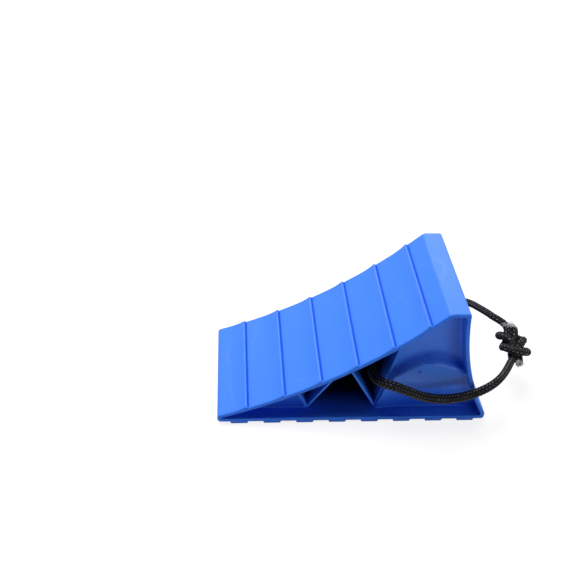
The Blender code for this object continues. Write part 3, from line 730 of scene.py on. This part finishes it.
def worked(tree, operation, first, second):
    """Two values put through one step of sums."""
    return add_node(tree, "ShaderNodeMath", {"operation": operation}, _0=first, _1=second).outputs[0]


def ranged(tree, value, **limits):
    """A value carried from one range to another."""
    return add_node(tree, "ShaderNodeMapRange", Value=value, **limits).outputs["Result"]


def marked(tree, name):
    """A mark that the mesh carries at its points."""
    return add_node(tree, "ShaderNodeAttribute", {"attribute_name": name}).outputs["Fac"]


def noise(tree, where, scale, detail):
    """A cloudy value of this scale over the object."""
    return add_node(tree, "ShaderNodeTexNoise", Vector=where, Scale=scale, Detail=detail).outputs["Fac"]


plastic = bpy.data.materials.new("blue_polypropylene")
plastic.use_nodes = True
tree = plastic.node_tree
shader = tree.nodes["Principled BSDF"]
where = add_node(tree, "ShaderNodeTexCoord").outputs["Object"]
cloud = noise(tree, where, 38.0, 3.0)
colour = mixed(tree, cloud, (0.037, 0.184, 0.82, 1.0), (0.044, 0.211, 0.89, 1.0))

# Flow fronts show as faint pale arcs round the gate, and handling leaves hair scratches along the ramp
rings = add_node(tree, "ShaderNodeTexWave", {"wave_type": "RINGS", "rings_direction": "SPHERICAL"},
                 Vector=where, Scale=22.0, Distortion=5.0, Detail=2.0, Detail_Scale=1.5).outputs["Fac"]
arcs = ranged(tree, rings, From_Min=0.90, From_Max=1.0)
patch = ranged(tree, noise(tree, where, 24.0, 2.0), From_Min=0.50, From_Max=0.72)
arcs = worked(tree, "MULTIPLY", arcs, patch)
drawn = add_node(tree, "ShaderNodeMapping", Vector=where, Rotation=(0.0, 0.55, 0.12),
                 Scale=(9.0, 700.0, 9.0)).outputs[0]
hair = ranged(tree, noise(tree, drawn, 1.0, 1.0), From_Min=0.74, From_Max=0.80)
worn = worked(tree, "MULTIPLY", worked(tree, "MAXIMUM", arcs, hair), 0.09)
colour = mixed(tree, worn, colour, (0.34, 0.48, 0.82, 1.0))

# Painted light: rims and ridge crowns get a paler painted highlight; ridge roots, panels' feet, the band
# along the arch and the deep pockets get painted shade.
# Each tint reaches its full share where its mark is full.
for mark, full, tint, share in (("rim", 1.0, (0.045, 0.230, 1.0, 1.0), 0.95),
                                ("crown", 1.0, (0.15, 0.40, 0.95, 1.0), 0.45),
                                ("root", 1.0, (0.006, 0.060, 0.58, 1.0), 0.92),
                                ("deep", 0.016, (0.0003, 0.0015, 0.035, 1.0), 0.96)):
    colour = mixed(tree, ranged(tree, marked(tree, mark), From_Max=full, To_Max=share), colour, tint)
tree.links.new(colour, shader.inputs["Base Color"])

# Satin tool finish: a fine grain and slightly shinier patches, with no gleam where shade is painted and less
# on the rims
polish = ranged(tree, cloud, From_Min=0.3, From_Max=0.7, To_Min=0.43, To_Max=0.36)
tree.links.new(polish, shader.inputs["Roughness"])
held = marked(tree, "root")
for mark, full, share in (("rim", 1.0, 0.55), ("deep", 0.012, 0.95)):
    amount = ranged(tree, marked(tree, mark), From_Max=full, To_Max=share)
    held = worked(tree, "MAXIMUM", held, amount)
tree.links.new(ranged(tree, held, To_Min=0.29, To_Max=0.03), shader.inputs["Specular IOR Level"])
fine = add_node(tree, "ShaderNodeBump", Height=noise(tree, where, 2600.0, 2.0), Strength=0.10,
                Distance=0.00012).outputs["Normal"]
bump = add_node(tree, "ShaderNodeBump", Height=noise(tree, where, 70.0, 1.0), Normal=fine, Strength=0.25,
                Distance=0.0004).outputs["Normal"]
tree.links.new(bump, shader.inputs["Normal"])
skin.materials.clear()
skin.materials.append(plastic)
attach(band, "chock")
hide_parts("chock_body")

# The rope: one length of 6 mm cord, braided from sixteen strands of charcoal polyester laid two over two.
# It is led through the hole and tied to itself in a reef knot behind the heel.
# Here it is two halves that meet inside the moulding.
ROPE = 6.3 * MM
SEAT_GAP = 0.3 * MM
SPLICE_INSET = 16.5 * MM
SPLICE_HALF_GAP = 0.15 * MM
ROPE_Z = HOLE[1] - HOLE_RADIUS + ROPE / 2 + SEAT_GAP
SPLICE_Y = SIDE_A - SPLICE_INSET
KNOT = np.array([0.1264, -0.0040, 0.0388])
KNOT_ROLL = math.radians(13.0)
KNOT_ARM = 6.2 * MM
KNOT_BEND = 6.6 * MM
KNOT_NARROW = 3.1 * MM
KNOT_SPREAD = 3.2 * MM
KNOT_RISE = 3.9 * MM
KNOT_BEND_POINTS = 9
TAILS = {"a": np.array([-0.6, 1.8, 1.6]) * MM, "b": np.array([-1.6, -4.8, 0.0]) * MM}
LEG_A = [
    (HOLE[0], SIDE_A - 0.0020, ROPE_Z), (HOLE[0], SIDE_A + 0.0015, ROPE_Z),
    (0.0139, 0.0430, 0.0392), (0.0188, 0.0483, 0.0375), (0.0256, 0.0508, 0.0343),
    (0.0335, 0.0515, 0.0308), (0.0470, 0.0517, 0.0276), (0.0590, 0.0517, 0.0277),
    (0.0700, 0.0517, 0.0290), (0.0810, 0.0517, 0.0305), (0.0896, 0.0514, 0.0324),
    (0.0968, 0.0501, 0.0348), (0.1021, 0.0463, 0.0377), (0.1055, 0.0402, 0.0405),
    (0.1079, 0.0334, 0.0431), (0.1105, 0.0265, 0.0455), (0.1138, 0.0195, 0.0470),
]
LEG_B = [
    (HOLE[0], 0.0000, ROPE_Z), (HOLE[0], -0.0180, ROPE_Z), (HOLE[0], -0.0330, ROPE_Z),
    (0.0136, -0.0405, 0.0402), (0.0170, -0.0465, 0.0425), (0.0230, -0.0507, 0.0437),
    (0.0300, -0.0517, 0.0412), (0.0380, -0.0519, 0.0372), (0.0455, -0.0519, 0.0336),
    (0.0600, -0.0518, 0.0302), (0.0740, -0.0517, 0.0314), (0.0850, -0.0514, 0.0355),
    (0.0930, -0.0507, 0.0402), (0.0983, -0.0485, 0.0423), (0.1036, -0.0442, 0.0429),
    (0.1090, -0.0380, 0.0422), (0.1141, -0.0308, 0.0407), (0.1185, -0.0239, 0.0386),
]


def knot_bight(end, tail_reach):
    """One bight of the reef knot, from its standing part round to its tail.

    Its two arms bow out from KNOT_NARROW by up to twice KNOT_SPREAD and rise and fall as cosines, half a
    turn about the other bight's arms; a half ellipse closes them on the far side. end is 1 or -1 along the
    width. The whole knot is rolled about the width so that its outer side hangs lower.
    """
    half = KNOT_ARM + KNOT_BEND
    middle = KNOT_NARROW + KNOT_SPREAD
    stations = np.array([1.0, 0.75, 0.5, 0.25, 0.0, -0.5 * KNOT_ARM / half]) * half
    bow = middle - KNOT_SPREAD * np.sin(math.pi * stations / (2 * KNOT_ARM))
    across = np.where(stations > KNOT_ARM, KNOT_NARROW, bow)
    rise = -KNOT_RISE * np.cos(math.pi * stations / np.where(stations > 0, half, 2 * KNOT_ARM))
    turn = np.linspace(0.0, math.pi, KNOT_BEND_POINTS)
    standing = np.stack([-across, end * stations, end * rise], axis=-1)
    bend = np.stack([-(middle + KNOT_SPREAD) * np.cos(turn), -end * (KNOT_ARM + KNOT_BEND * np.sin(turn)),
                     end * KNOT_RISE * np.sin(turn)], axis=-1)
    tail = standing[::-1] * [-1, 1, 1]
    tip = tail[-1] + tail_reach
    x, y, z = np.concatenate([standing, bend, tail, [tip]]).T
    lean, level = math.sin(KNOT_ROLL), math.cos(KNOT_ROLL)
    return KNOT + np.stack([x * level + z * lean, y, z * level - x * lean], axis=-1)


def smooth_line(places, spacing):
    """Even points on the curve through the places, each coordinate a cubic of the run between them."""
    run = run_of(places)
    fine_run = np.linspace(0.0, run[-1], round(run[-1] / spacing) * 2)
    fine = np.stack([smooth_through(fine_run, run, coordinate) for coordinate in places.T], axis=-1)
    length = run_of(fine)[-1]
    return along(fine, np.linspace(0.0, length, round(length / spacing) + 1))


PATH_GUIDE = np.array([0.32, 0.11, 0.94])


def frames_along(path):
    """Two directions across a path that turn with it and don't twist about it.

    PATH_GUIDE squared to the path gives first frames, and their own twist, added up along the path, is taken
    out.
    """
    tangent = np.gradient(path, axis=0)
    tangent /= np.linalg.norm(tangent, axis=1, keepdims=True)
    first = PATH_GUIDE - (tangent @ PATH_GUIDE)[:, None] * tangent
    first /= np.linalg.norm(first, axis=1, keepdims=True)
    second = np.cross(tangent, first)
    twist = -np.cumsum((np.gradient(first, axis=0) * second).sum(axis=1))[:, None]
    return first * np.cos(twist) + second * np.sin(twist), second * np.cos(twist) - first * np.sin(twist)


# Eight strands climb each way; towards the knot the braid is drawn slimmer, and its cut end frays pale
STRANDS = 8
STRAND_PITCH = 2.4 * MM
STRAND_FILL = 1.96
BRAID_WAVE = 0.22 * MM
BRAID_ROUND = 0.34 * MM
BRAID_LIFT = 0.18 * MM
ROPE_SIDES = 72
ROPE_STEP = 0.21 * MM
DRAWN_FROM = 150.0 * MM
DRAWN_TO = 112.0 * MM
DRAWN_SLIM = 0.86
END_ROUND = 1.6 * MM
END_SHARE = 0.93
FRAYED = 3.0 * MM
YARN_STEP = 3.0
YARN_FAMILY = 40.0


def braided_rope(name, path, fullness):
    """The rope's skin: a tube whose radius follows the braid.

    Two families of strands climb round it in opposite turns. Each strand is a rounded ridge that waves over
    and under two strands of the other family at a time, and the higher of the two families is the surface.
    Towards the knot the braid is drawn slimmer, and its cut end is rounded off.
    """
    first, second = frames_along(path)
    turn = np.linspace(0.0, 2 * math.pi, ROPE_SIDES, endpoint=False)
    run = run_of(path)
    climb = run[:, None] / STRAND_PITCH
    around = STRANDS * turn / (2 * math.pi)
    left, right = around + climb, around - climb
    heights, yarns = [], []
    for own, other, sign in ((left, right, 1.0), (right, left, -1.0)):
        index = np.floor(own)
        inside = own - index - 0.5
        wave = sign * np.cos(math.pi / 2 * (index + other - 1.0))
        heights.append(BRAID_WAVE * wave + BRAID_ROUND * np.sqrt(1 - (STRAND_FILL * inside) ** 2))
        yarns.append(inside + YARN_STEP * (index % STRANDS) + (YARN_FAMILY if sign > 0 else 0.0))
    height = np.maximum(*heights)
    yarn = np.where(heights[0] > heights[1], *yarns)
    left_over = run[-1] - run
    slim = np.interp(left_over, [DRAWN_TO, DRAWN_FROM], [DRAWN_SLIM, fullness])
    ease = np.sqrt(1 - np.clip(1 - left_over / END_ROUND, 0.0, END_SHARE) ** 2)
    radius = (ROPE / 2 - BRAID_WAVE - BRAID_ROUND + BRAID_LIFT + height) * (slim * ease)[:, None]
    rows = path[:, None] + radius[..., None] * (first[:, None] * np.cos(turn)[:, None]
                                                + second[:, None] * np.sin(turn)[:, None])
    mesh = grid_mesh(name, rows, True)
    end = np.repeat(np.clip(1 - left_over / FRAYED, 0.0, 1.0)[:, None], ROPE_SIDES, axis=1)
    for mark, value in (("crown", (height - height.min()) / np.ptp(height)), ("yarn", yarn), ("end", end)):
        made = mesh.attributes.new(mark, "FLOAT", "POINT")
        made.data.foreach_set("value", value.astype(np.float32).ravel())
    turned_out(mesh)
    mesh.shade_smooth()
    made = bpy.data.objects.new(name, mesh)
    scene.collection.objects.link(made)
    return made


cord_look = bpy.data.materials.new("charcoal_braid")
cord_look.use_nodes = True
tree = cord_look.node_tree
shader = tree.nodes["Principled BSDF"]
where = add_node(tree, "ShaderNodeTexCoord").outputs["Object"]
crown = marked(tree, "crown")
yarn = marked(tree, "yarn")

# Each strand has its own tone. Its crown gets a grey painted glint, brighter on one family of strands, and
# the charcoal between the crowns is darkened nearly to black as painted shade
strand = add_node(tree, "ShaderNodeMath", {"operation": "ROUND"}, _0=yarn).outputs[0]
tone = add_node(tree, "ShaderNodeTexWhiteNoise", {"noise_dimensions": "1D"}, W=strand).outputs["Value"]
mottle = ranged(tree, noise(tree, where, 420.0, 2.0), From_Min=0.34, From_Max=0.66, To_Min=0.35, To_Max=1.25)
painted_glint = worked(tree, "MULTIPLY", ranged(tree, crown, From_Min=0.66, From_Max=1.0), mottle)
family = ranged(tree, yarn, From_Min=34.0, From_Max=36.0, To_Min=0.5, To_Max=1.0)
own = worked(tree, "MULTIPLY", ranged(tree, tone, To_Min=0.55, To_Max=1.1), family)
painted_glint = worked(tree, "MULTIPLY", painted_glint, own)
painted_glint.node.use_clamp = True
charcoal = mixed(tree, painted_glint, (0.0025, 0.0026, 0.0032, 1.0), (0.170, 0.170, 0.175, 1.0))
speck = ranged(tree, noise(tree, where, 900.0, 2.0), From_Min=0.42, From_Max=0.62)
frayed = worked(tree, "MULTIPLY", marked(tree, "end"), speck)
tree.links.new(mixed(tree, frayed, charcoal, (0.55, 0.55, 0.56, 1.0)), shader.inputs["Base Color"])

# Fine filaments run along each strand
FILAMENTS = 6
filament = worked(tree, "MULTIPLY", yarn, 2 * math.pi * FILAMENTS)
filament = add_node(tree, "ShaderNodeMath", {"operation": "SINE"}, _0=filament).outputs[0]
bump = add_node(tree, "ShaderNodeBump", Height=filament, Strength=0.35, Distance=0.00006).outputs["Normal"]
tree.links.new(bump, shader.inputs["Normal"])
tree.links.new(ranged(tree, crown, To_Min=0.8, To_Max=0.5), shader.inputs["Roughness"])
shader.inputs["Specular IOR Level"].default_value = 0.07

# Where the rope was cut its polyester filaments have come loose and show pale.
# Each of its two ends has a tuft of them, short, tapering and splayed.
FIBRES = 300
FIBRE_RINGS = 6
FIBRE_SIDES = 4
FIBRE_RADIUS = 0.17 * MM
FIBRE_TAPER = 0.65
FIBRE_SHORTEST = 0.25
FIBRE_TUCK = 0.5 * MM
FIBRE_OPENING = 0.5
FIBRE_STRAY = 0.30
FIBRE_BEND = 0.35
TUFT_RADIUS = 2.3 * MM
TUFT_GUIDE = (0.3, 0.2, 0.9)
TUFT_SUNK = 3
TUFT_SIGHT = 7


def loose_fibres(name, root, heading, splay, droop, longest, seed):
    """A tuft of loose filaments on a cut end.

    Each leaves the end at a random place and bends away as the square of its run. It is a four-sided tube of
    FIBRE_RINGS rings whose radius falls evenly by FIBRE_TAPER to its tip.
    """
    rng = np.random.default_rng(seed)
    heading = heading / np.linalg.norm(heading)
    side = np.cross(heading, TUFT_GUIDE)
    side /= np.linalg.norm(side)
    other = np.cross(heading, side)
    angle = rng.uniform(0.0, 2 * math.pi, FIBRES)[:, None]
    out = TUFT_RADIUS * np.sqrt(rng.uniform(0.0, 1.0, FIBRES))[:, None]
    away = np.cos(angle) * side + np.sin(angle) * other
    length = rng.uniform(FIBRE_SHORTEST, 1.0, FIBRES)[:, None] * longest
    start = root + out * away - heading * rng.uniform(0.0, FIBRE_TUCK, FIBRES)[:, None]
    opening = FIBRE_OPENING * away * out / TUFT_RADIUS
    aim = heading + opening + np.array(splay) + rng.normal(0.0, FIBRE_STRAY, (FIBRES, 3))
    bend = rng.normal(0.0, FIBRE_BEND, (FIBRES, 3)) - [0.0, 0.0, droop]
    t = np.linspace(0.0, 1.0, FIBRE_RINGS)[:, None]
    line = start[:, None] + length[:, None] * (aim[:, None] * t + bend[:, None] * t ** 2)
    across = np.cross(aim, rng.normal(0.0, 1.0, (FIBRES, 3)))
    across /= np.linalg.norm(across, axis=1, keepdims=True)
    upright = np.cross(aim, across)
    upright /= np.linalg.norm(upright, axis=1, keepdims=True)
    turn = np.linspace(0.0, 2 * math.pi, FIBRE_SIDES, endpoint=False)[:, None]
    ring = np.cos(turn) * across[:, None] + np.sin(turn) * upright[:, None]
    radius = FIBRE_RADIUS * (1 - FIBRE_TAPER * t)
    points = line[:, :, None] + radius[:, :, None] * ring[:, None]
    number = np.arange(points.size // 3).reshape(FIBRES, FIBRE_RINGS, FIBRE_SIDES)
    next_side = np.roll(number, -1, axis=2)
    walls = np.stack([number[:, :-1], next_side[:, :-1], next_side[:, 1:], number[:, 1:]], axis=-1)
    ends = np.concatenate([number[:, 0, ::-1], number[:, -1]])
    mesh = bpy.data.meshes.new(name)
    mesh.from_pydata(points.reshape(-1, 3), [], np.concatenate([walls.reshape(-1, 4), ends]))
    tone = np.repeat(rng.uniform(0.0, 1.0, FIBRES), FIBRE_RINGS * FIBRE_SIDES)
    mark = mesh.attributes.new("tone", "FLOAT", "POINT")
    mark.data.foreach_set("value", tone.astype(np.float32))
    turned_out(mesh)
    mesh.shade_smooth()
    made = bpy.data.objects.new(name, mesh)
    scene.collection.objects.link(made)
    return made


fibre_look = bpy.data.materials.new("pale_filaments")
fibre_look.use_nodes = True
tree = fibre_look.node_tree
shader = tree.nodes["Principled BSDF"]
pale = mixed(tree, marked(tree, "tone"), (0.42, 0.42, 0.42, 1.0), (0.95, 0.95, 0.94, 1.0))
tree.links.new(pale, shader.inputs["Base Color"])
shader.inputs["Roughness"].default_value = 0.7
shader.inputs["Specular IOR Level"].default_value = 0.3

# Each half's route, end of the knot and fullness of braid, and its tuft's splay, droop, length and seed.
# A tuft is rooted TUFT_SUNK points of the path before its end and heads the way of the last TUFT_SIGHT.
HALVES = {
    "a": (LEG_A, 1, 0.98, ((-2.4, -0.6, 0.9), 0.6, 3.4 * MM, 8)),
    "b": (LEG_B, -1, 1.06, ((-0.1, 0.0, 0.25), 0.0, 2.0 * MM, 6)),
}
for side, (leg, end, fullness, splayed) in HALVES.items():
    begin = (HOLE[0], SPLICE_Y + end * SPLICE_HALF_GAP, ROPE_Z)
    path = smooth_line(np.concatenate([[begin], leg, knot_bight(end, TAILS[side])]), ROPE_STEP)
    rope = braided_rope("rope_half_" + side, path, fullness)
    rope.data.materials.append(cord_look)
    heading = path[-1] - path[-1 - TUFT_SIGHT]
    tuft = loose_fibres("rope_fray_" + side, path[-1 - TUFT_SUNK], heading, *splayed)
    tuft.data.materials.append(fibre_look)
    for piece in (rope, tuft):
        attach(piece, "rope_loop")
    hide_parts("rope_end_" + side)

# A white floor under a soft studio: a wide lamp overhead and one low behind leave the near side darker.
# The floor shows white to the camera and in reflections, and still takes the chock's shadow.
FLOOR_REACH = 4.0
FLOOR_DROP = 0.3 * MM
FLOOR_BOUNCE = 0.62
FLOOR_SHADE = 0.22
FLOOR_GLOW = 0.85
AMBIENT = 0.004
corners = [(x * FLOOR_REACH, y * FLOOR_REACH, -FLOOR_DROP) for x, y in ((-1, -1), (1, -1), (1, 1), (-1, 1))]
floor_mesh = bpy.data.meshes.new("floor")
floor_mesh.from_pydata(corners, [], [(0, 1, 2, 3)])
floor = bpy.data.objects.new("floor", floor_mesh)
scene.collection.objects.link(floor)


def seen_rays(tree):
    """A value of 1 for rays from the camera, mirrors and glass, and 0 for rays that light the object."""
    rays = add_node(tree, "ShaderNodeLightPath").outputs
    mirrored = worked(tree, "MAXIMUM", rays["Is Camera Ray"], rays["Is Glossy Ray"])
    return worked(tree, "MAXIMUM", mirrored, rays["Is Transmission Ray"])


white = bpy.data.materials.new("white_floor")
white.use_nodes = True
tree = white.node_tree
tree.nodes.remove(tree.nodes["Principled BSDF"])
seen = seen_rays(tree)
shade = ranged(tree, seen, To_Min=FLOOR_BOUNCE, To_Max=FLOOR_SHADE)
matt = add_node(tree, "ShaderNodeBsdfDiffuse", Color=shade).outputs[0]
glow = add_node(tree, "ShaderNodeEmission", Strength=worked(tree, "MULTIPLY", seen, FLOOR_GLOW)).outputs[0]
both = add_node(tree, "ShaderNodeAddShader", _0=matt, _1=glow).outputs[0]
tree.links.new(both, tree.nodes["Material Output"].inputs["Surface"])
floor_mesh.materials.append(white)

world = bpy.data.worlds.new("studio")
world.use_nodes = True
tree = world.node_tree
backdrop = tree.nodes["Background"].inputs
backdrop["Color"].default_value = (1.0, 1.0, 1.0, 1.0)
tree.links.new(ranged(tree, seen_rays(tree), To_Min=AMBIENT, To_Max=1.0), backdrop["Strength"])
scene.world = world


def soft_lamp(name, place, target, size, power):
    """A rectangular area lamp of this width and height that looks at a point."""
    lamp = bpy.data.lights.new(name, "AREA")
    lamp.shape = "RECTANGLE"
    lamp.size, lamp.size_y = size
    lamp.energy = power
    made = bpy.data.objects.new(name, lamp)
    away = np.array(target) - np.array(place)
    made.location = place
    tilt = math.acos(-away[2] / np.linalg.norm(away))
    made.rotation_euler = (tilt, 0.0, math.atan2(away[0], -away[1]) + math.pi)
    scene.collection.objects.link(made)


MIDDLE = (0.0, 0.0, 0.05)
soft_lamp("overhead", (-0.28, 0.22, 1.10), MIDDLE, (0.7, 0.7), 15.5)
soft_lamp("behind", (0.10, 0.95, 0.72), MIDDLE, (1.4, 0.5), 6.8)
soft_lamp("fill", (0.90, -0.90, 0.10), MIDDLE, (0.5, 0.3), 4.1)
